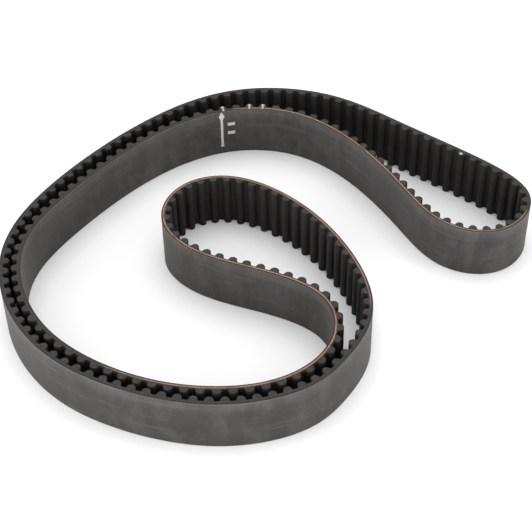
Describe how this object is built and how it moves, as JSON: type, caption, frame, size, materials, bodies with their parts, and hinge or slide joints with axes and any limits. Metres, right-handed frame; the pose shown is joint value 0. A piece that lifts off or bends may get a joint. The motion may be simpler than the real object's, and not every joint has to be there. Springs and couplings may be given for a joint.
{
  "type": "timing belt",
  "caption": "Endless toothed timing belt for synchronous drives, rounded teeth on one side and a smooth ground back, lying loose on its edge and folded back on itself.",
  "frame": {"origin": "centre of the belt's outline at its lower cut edge, which it stands on", "axes": "+Z across the belt's width, from the lower edge to the upper edge; +X along the long side of the folded belt, towards its single right-hand loop; +Y away from the side where the folded end lies open"},
  "size_m": [0.2938, 0.2572, 0.0322],
  "materials": {
    "backing_rubber": "ground satin",
    "glass_cord": "twisted yarn",
    "tooth_rubber": "moulded matte",
    "facing_fabric": "rubberised woven",
    "white_ink": "printed"
  },
  "bodies": {
    "root": {"backing_rubber": "backing_rubber", "tensile_cord_winding": "glass_cord", "tooth_rubber": "tooth_rubber", "tooth_facing_fabric": "facing_fabric", "direction_arrow": "white_ink", "index_bar_1": "white_ink", "index_bar_2": "white_ink", "tooth_tick_1": "white_ink", "tooth_tick_2": "white_ink", "tooth_tick_3": "white_ink", "tooth_dot": "white_ink"}
  },
  "joints": []
}
